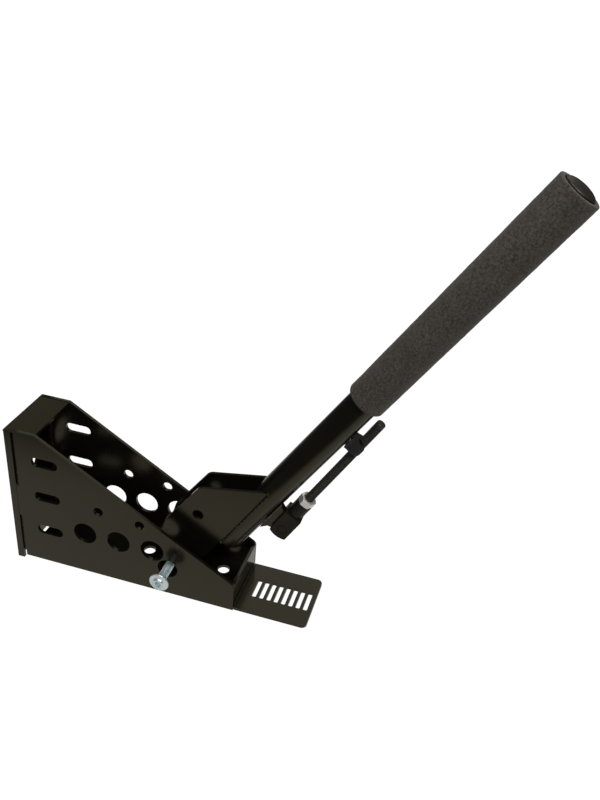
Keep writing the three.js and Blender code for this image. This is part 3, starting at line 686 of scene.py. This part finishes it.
def make_clip(place, rubber):
    """The moulded clip: a web on the tube and two arms round the rod, lofted along the tube."""
    root, floor, mouth, outer = CLIP_ROOT, CLIP_FLOOR, CLIP_MOUTH, CLIP_HALF_WIDTH
    shoulder = floor + 4.2
    rounding = 1.0
    sections = 24
    bm = bmesh.new()
    rows = []
    for index in range(sections + 1):
        share = index / sections
        t = CLIP_LOW + (CLIP_HIGH - CLIP_LOW) * share
        lean = abs(2 * share - 1)
        reach = shoulder + (CLIP_REACH - shoulder) * math.sqrt(max(0.0, 1 - lean ** 4))
        points = []
        for side in (-1, 1):
            arm = [
                (root, side * 5.4), (root + 1.2, side * 5.0), (root + 3.0, side * 5.3),
                (floor + 1.5, side * 6.3), (floor + 4.0, side * outer),
                (reach - rounding, side * outer), (reach - 0.3, side * (outer - 0.35)),
                (reach, side * (outer - 1.1)), (reach - 0.3, side * (mouth + 0.35)),
                (reach - rounding, side * mouth), (floor + 1.6, side * mouth),
                (floor + 0.5, side * (mouth - 0.9)), (floor, side * (mouth - 2.2)),
            ]
            points.append(arm)
        outline = points[0] + points[1][::-1]
        rows.append([bm.verts.new((u, y, t)) for u, y in outline])
    grid_faces(bm, rows)
    bm.faces.new(rows[0])
    bm.faces.new(rows[-1])
    obj = add_object("rod_clip", bm, place, rubber, "lever")
    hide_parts("strut_clip")


def weld_dot(name, spot, radius, place, material, body):
    """A small round blob of weld metal."""
    bm = bmesh.new()
    bmesh.ops.create_icosphere(bm, subdivisions=3, radius=radius)
    for v in bm.verts:
        v.co *= 1 + 0.12 * noise.noise(v.co * 0.9)
        v.co += Vector(spot)
    add_object(name, bm, place, material, body)


def make_welds(lever, frame, paint):
    """Weld beads, under the same paint as the sheets that they join."""
    sides = ((-1, "right"), (1, "left"))
    for side, name in sides:
        path = [(-2.3, side * 11.7, TUBE_BOTTOM + 1), (-2.3, side * 11.7, CHEEK_TOP - 1)]
        bead = bead_mesh(path, 1.5)
        add_object(f"weld_cheek_{name}", bead, lever, paint, "lever")
        top = (-4.0, side * 12.2, CHEEK_TOP - 0.4)
        foot = (-3.0, side * 12.0, TUBE_BOTTOM - 1)
        corner = (WALL_FRONT - 1.2, side * (PLATE_INNER + 0.1), WALL_TOP + 0.1)
        tab = (-144.6, side * 30.6, 81.2)
        weld_dot(f"weld_top_{name}", top, 1.5, lever, paint, "lever")
        weld_dot(f"weld_foot_{name}", foot, 1.6, lever, paint, "lever")
        weld_dot(f"weld_wall_top_{name}", corner, 1.3, frame, paint, "frame")
        weld_dot(f"weld_tab_{name}", tab, 1.1, frame, paint, "frame")
    for side, name in sides:
        path = [(SEAM_X, side * SEAM_Y, SHEET + 1), (SEAM_X, side * SEAM_Y, SEAM_TOP)]
        seam = bead_mesh(path, 2.3)
        add_object(f"weld_rear_seam_{name}", seam, frame, paint, "frame")
    reach = PLATE_INNER - 0.6
    wall_x = WALL_FRONT + 0.3
    path = [(wall_x, -reach, SHEET + 0.2), (wall_x, reach, SHEET + 0.2)]
    foot = bead_mesh(path, 1.3)
    add_object("weld_wall_foot", foot, frame, paint, "frame")


# ---------------------------------------------------------------- the object

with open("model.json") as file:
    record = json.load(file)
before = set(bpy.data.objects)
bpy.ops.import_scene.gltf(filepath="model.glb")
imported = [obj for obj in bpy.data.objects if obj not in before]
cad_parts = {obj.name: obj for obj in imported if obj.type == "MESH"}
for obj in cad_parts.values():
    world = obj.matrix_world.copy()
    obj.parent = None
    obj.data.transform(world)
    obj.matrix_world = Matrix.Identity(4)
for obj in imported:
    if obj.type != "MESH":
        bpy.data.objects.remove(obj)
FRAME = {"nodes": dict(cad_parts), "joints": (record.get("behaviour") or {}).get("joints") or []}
CAD_LOW, CAD_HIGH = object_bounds()

LEVER = lever_frame()
STRUT = strut_frame(FRAME["joints"])
PIVOT = pivot_frame(FRAME["joints"])

make_camera()
make_world()
make_floor(CAD_LOW.z - 0.2 * MM)
make_lights()

PAINT = powder_coat()
STEEL = black_steel("blackened_steel", (0.007, 0.0066, 0.0045), (0.014, 0.0135, 0.0095), 0.18)
ROD_STEEL = black_steel("rolled_thread_steel", (0.026, 0.025, 0.021), (0.05, 0.049, 0.043), 0.36)
ZINC = zinc_plate("blue_zinc", (0.52, 0.68, 0.74), (0.8, 0.88, 0.87))
NUT_ZINC = zinc_plate("pale_zinc", (0.72, 0.71, 0.66), (0.88, 0.86, 0.8))
FOAM = foam_skin()
RUBBER = moulded_rubber()

for sheet in ("base_plate", "side_plate_right", "side_plate_left", "front_wall", "rear_plate"):
    dress_node(sheet, PAINT, 0.4)
for sheet in ("cheek_right", "cheek_left", "strut_tab"):
    dress_node(sheet, PAINT, 0.45)
dress_node("lever_tube", PAINT, 0.3)
for part in ("pivot_spacer_right", "pivot_spacer_left", "pivot_sleeve"):
    dress_node(part, STEEL, 0.25)
dress_node("pivot_washer", ZINC, 0.2)
dress_node("clip_screw", ZINC, 0.15)
dress_node("strut_fork", STEEL, 0.45, 3)
dress_node("strut_pin", STEEL, 0.4)
dress_node("grip_end_cap", RUBBER, 0.3)

make_pivot_bolt(PIVOT, ZINC)
make_pivot_nut(PIVOT, ZINC)
make_strut(STRUT, ROD_STEEL, NUT_ZINC)
make_grip(LEVER, FOAM)
make_clip(LEVER, RUBBER)
make_welds(LEVER, Matrix.Scale(MM, 4), PAINT)

bpy.context.scene.view_settings.view_transform = "Standard"
